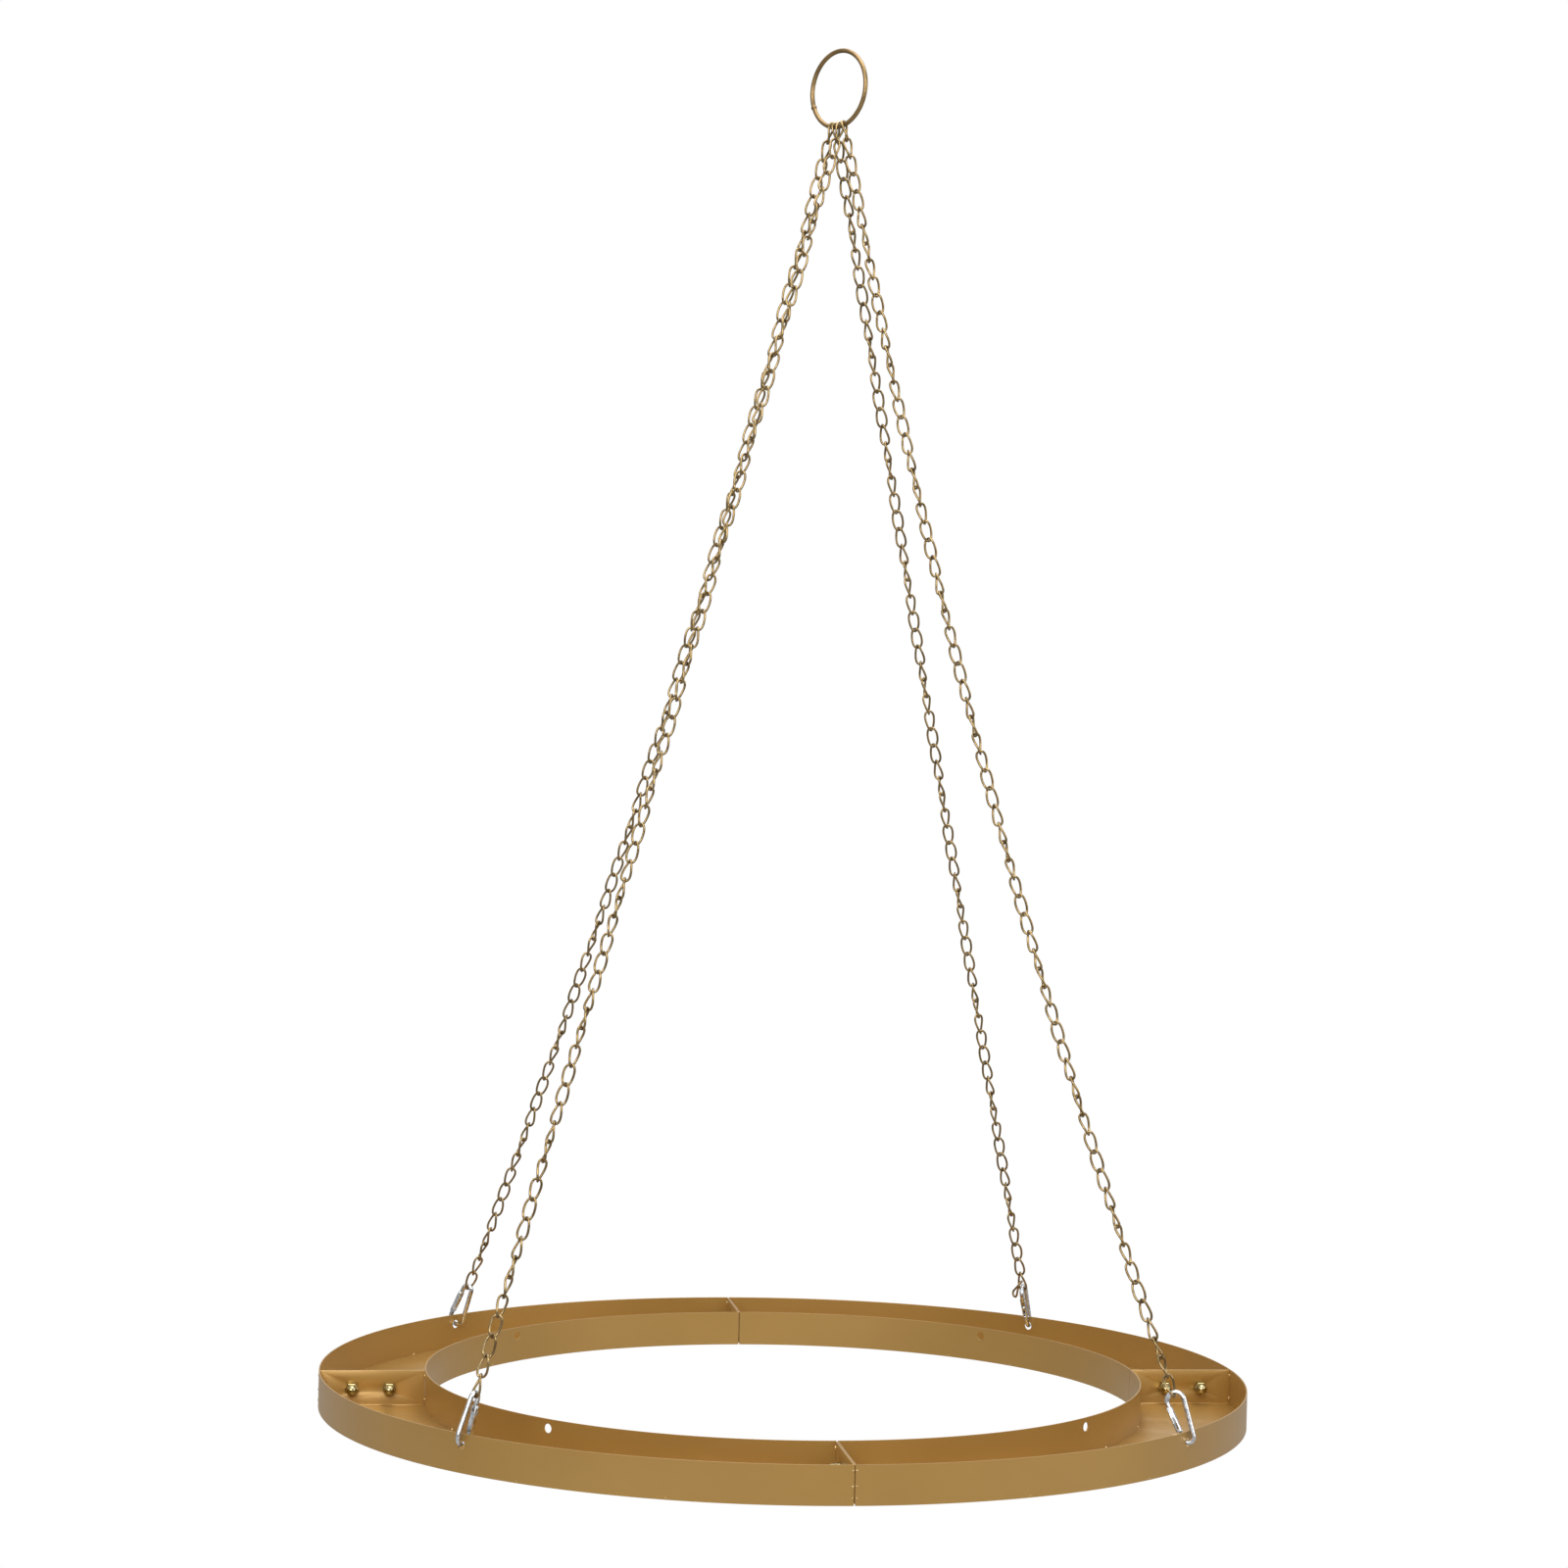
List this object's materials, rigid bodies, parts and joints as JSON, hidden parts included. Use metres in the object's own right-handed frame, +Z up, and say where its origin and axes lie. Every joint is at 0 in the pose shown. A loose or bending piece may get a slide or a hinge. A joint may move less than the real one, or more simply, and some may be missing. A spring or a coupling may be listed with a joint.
{
  "type": "hanging wreath frame",
  "caption": "Round sheet-metal trough for a hanging flower wreath, bolted from quadrants and hung from one ring by twisted-link chains with spring snap hooks.",
  "frame": {"origin": "centre of the trough's ring at its underside", "axes": "+Z up along the ring's axis towards the hanging ring; the bolted joints lie on the X and Y axes"},
  "size_m": [0.8008, 0.8008, 1.18],
  "materials": {
    "gold_sheet": "satin gold powder coat",
    "gold_wire": "satin gold",
    "gold_chain": "bright pale gold plating",
    "hook_steel": "bright zinc plating",
    "zinc_fastener": "yellow zinc plating",
    "spring_steel": "drawn wire"
  },
  "bodies": {
    "ring": {"top_ring": "gold_wire"},
    "wreath": {"floor_plate_1": "gold_sheet", "outer_wall_1": "gold_sheet", "inner_wall_1": "gold_sheet", "tack_welds_1": "gold_sheet", "joint_bolts_1": "zinc_fastener", "joint_nuts_1": "zinc_fastener", "chain_1": "gold_chain", "floor_plate_2": "gold_sheet", "outer_wall_2": "gold_sheet", "inner_wall_2": "gold_sheet", "tack_welds_2": "gold_sheet", "joint_bolts_2": "zinc_fastener", "joint_nuts_2": "zinc_fastener", "chain_2": "gold_chain", "floor_plate_3": "gold_sheet", "outer_wall_3": "gold_sheet", "inner_wall_3": "gold_sheet", "tack_welds_3": "gold_sheet", "joint_bolts_3": "zinc_fastener", "joint_nuts_3": "zinc_fastener", "chain_3": "gold_chain", "floor_plate_4": "gold_sheet", "outer_wall_4": "gold_sheet", "inner_wall_4": "gold_sheet", "tack_welds_4": "gold_sheet", "joint_bolts_4": "zinc_fastener", "joint_nuts_4": "zinc_fastener", "chain_4": "gold_chain"},
    "snap_hook_1": {"hook_body_1": "hook_steel", "hook_rivet_1": "hook_steel"},
    "gate_1": {"hook_gate_1": "hook_steel", "hook_spring_1": "spring_steel"},
    "spare_link": {"spare_link": "gold_chain"},
    "snap_hook_2": {"hook_body_2": "hook_steel", "hook_rivet_2": "hook_steel"},
    "gate_2": {"hook_gate_2": "hook_steel", "hook_spring_2": "spring_steel"},
    "snap_hook_3": {"hook_body_3": "hook_steel", "hook_rivet_3": "hook_steel"},
    "gate_3": {"hook_gate_3": "hook_steel", "hook_spring_3": "spring_steel"},
    "snap_hook_4": {"hook_body_4": "hook_steel", "hook_rivet_4": "hook_steel"},
    "gate_4": {"hook_gate_4": "hook_steel", "hook_spring_4": "spring_steel"}
  },
  "joints": [
    {"name": "swing", "type": "hinge", "parent": "ring", "child": "wreath", "pos_m": [0.0218, -0.003, 1.112], "axis": [0.5821, -0.8131, 0], "range_deg": [-25, 25]},
    {"name": "hook_1_twist", "type": "hinge", "parent": "wreath", "child": "snap_hook_1", "pos_m": [0.27963, 0.28755, 0.02265], "axis": [-0.2296, -0.2551, 0.9393], "range_deg": [-10, 10]},
    {"name": "spare_link_swing", "type": "hinge", "parent": "wreath", "child": "spare_link", "pos_m": [0.26835, 0.27603, 0.06622], "axis": [0.42, 0.8446, 0.3321], "range_deg": [-1.5, 10]},
    {"name": "gate_1_open", "type": "hinge", "parent": "snap_hook_1", "child": "gate_1", "pos_m": [0.27498, 0.28047, 0.0313], "axis": [-0.878, 0.4708, -0.0868], "range_deg": [0, 22], "stiffness_Nm_per_rad": 0.02, "springref_deg": -11.46},
    {"name": "hook_2_twist", "type": "hinge", "parent": "wreath", "child": "snap_hook_2", "pos_m": [-0.27314, 0.29291, 0.02255], "axis": [0.2947, -0.2939, 0.9093], "range_deg": [-10, 10]},
    {"name": "gate_2_open", "type": "hinge", "parent": "snap_hook_2", "child": "gate_2", "pos_m": [-0.26801, 0.28684, 0.05192], "axis": [-0.6147, -0.7868, -0.055], "range_deg": [0, 22], "stiffness_Nm_per_rad": 0.02, "springref_deg": -11.46},
    {"name": "hook_3_twist", "type": "hinge", "parent": "wreath", "child": "snap_hook_3", "pos_m": [-0.29003, -0.27619, 0.02255], "axis": [0.2724, 0.2354, 0.9329], "range_deg": [-10, 10]},
    {"name": "gate_3_open", "type": "hinge", "parent": "snap_hook_3", "child": "gate_3", "pos_m": [-0.27894, -0.26539, 0.04874], "axis": [-0.7711, 0.6334, 0.0653], "range_deg": [0, 22], "stiffness_Nm_per_rad": 0.02, "springref_deg": -11.46},
    {"name": "hook_4_twist", "type": "hinge", "parent": "wreath", "child": "snap_hook_4", "pos_m": [0.29034, -0.27746, 0.02235], "axis": [-0.2887, 0.2932, 0.9114], "range_deg": [-10, 10]},
    {"name": "gate_4_open", "type": "hinge", "parent": "snap_hook_4", "child": "gate_4", "pos_m": [0.28291, -0.27231, 0.03041], "axis": [0.4605, 0.8771, -0.1363], "range_deg": [0, 22], "stiffness_Nm_per_rad": 0.02, "springref_deg": -11.46}
  ]
}
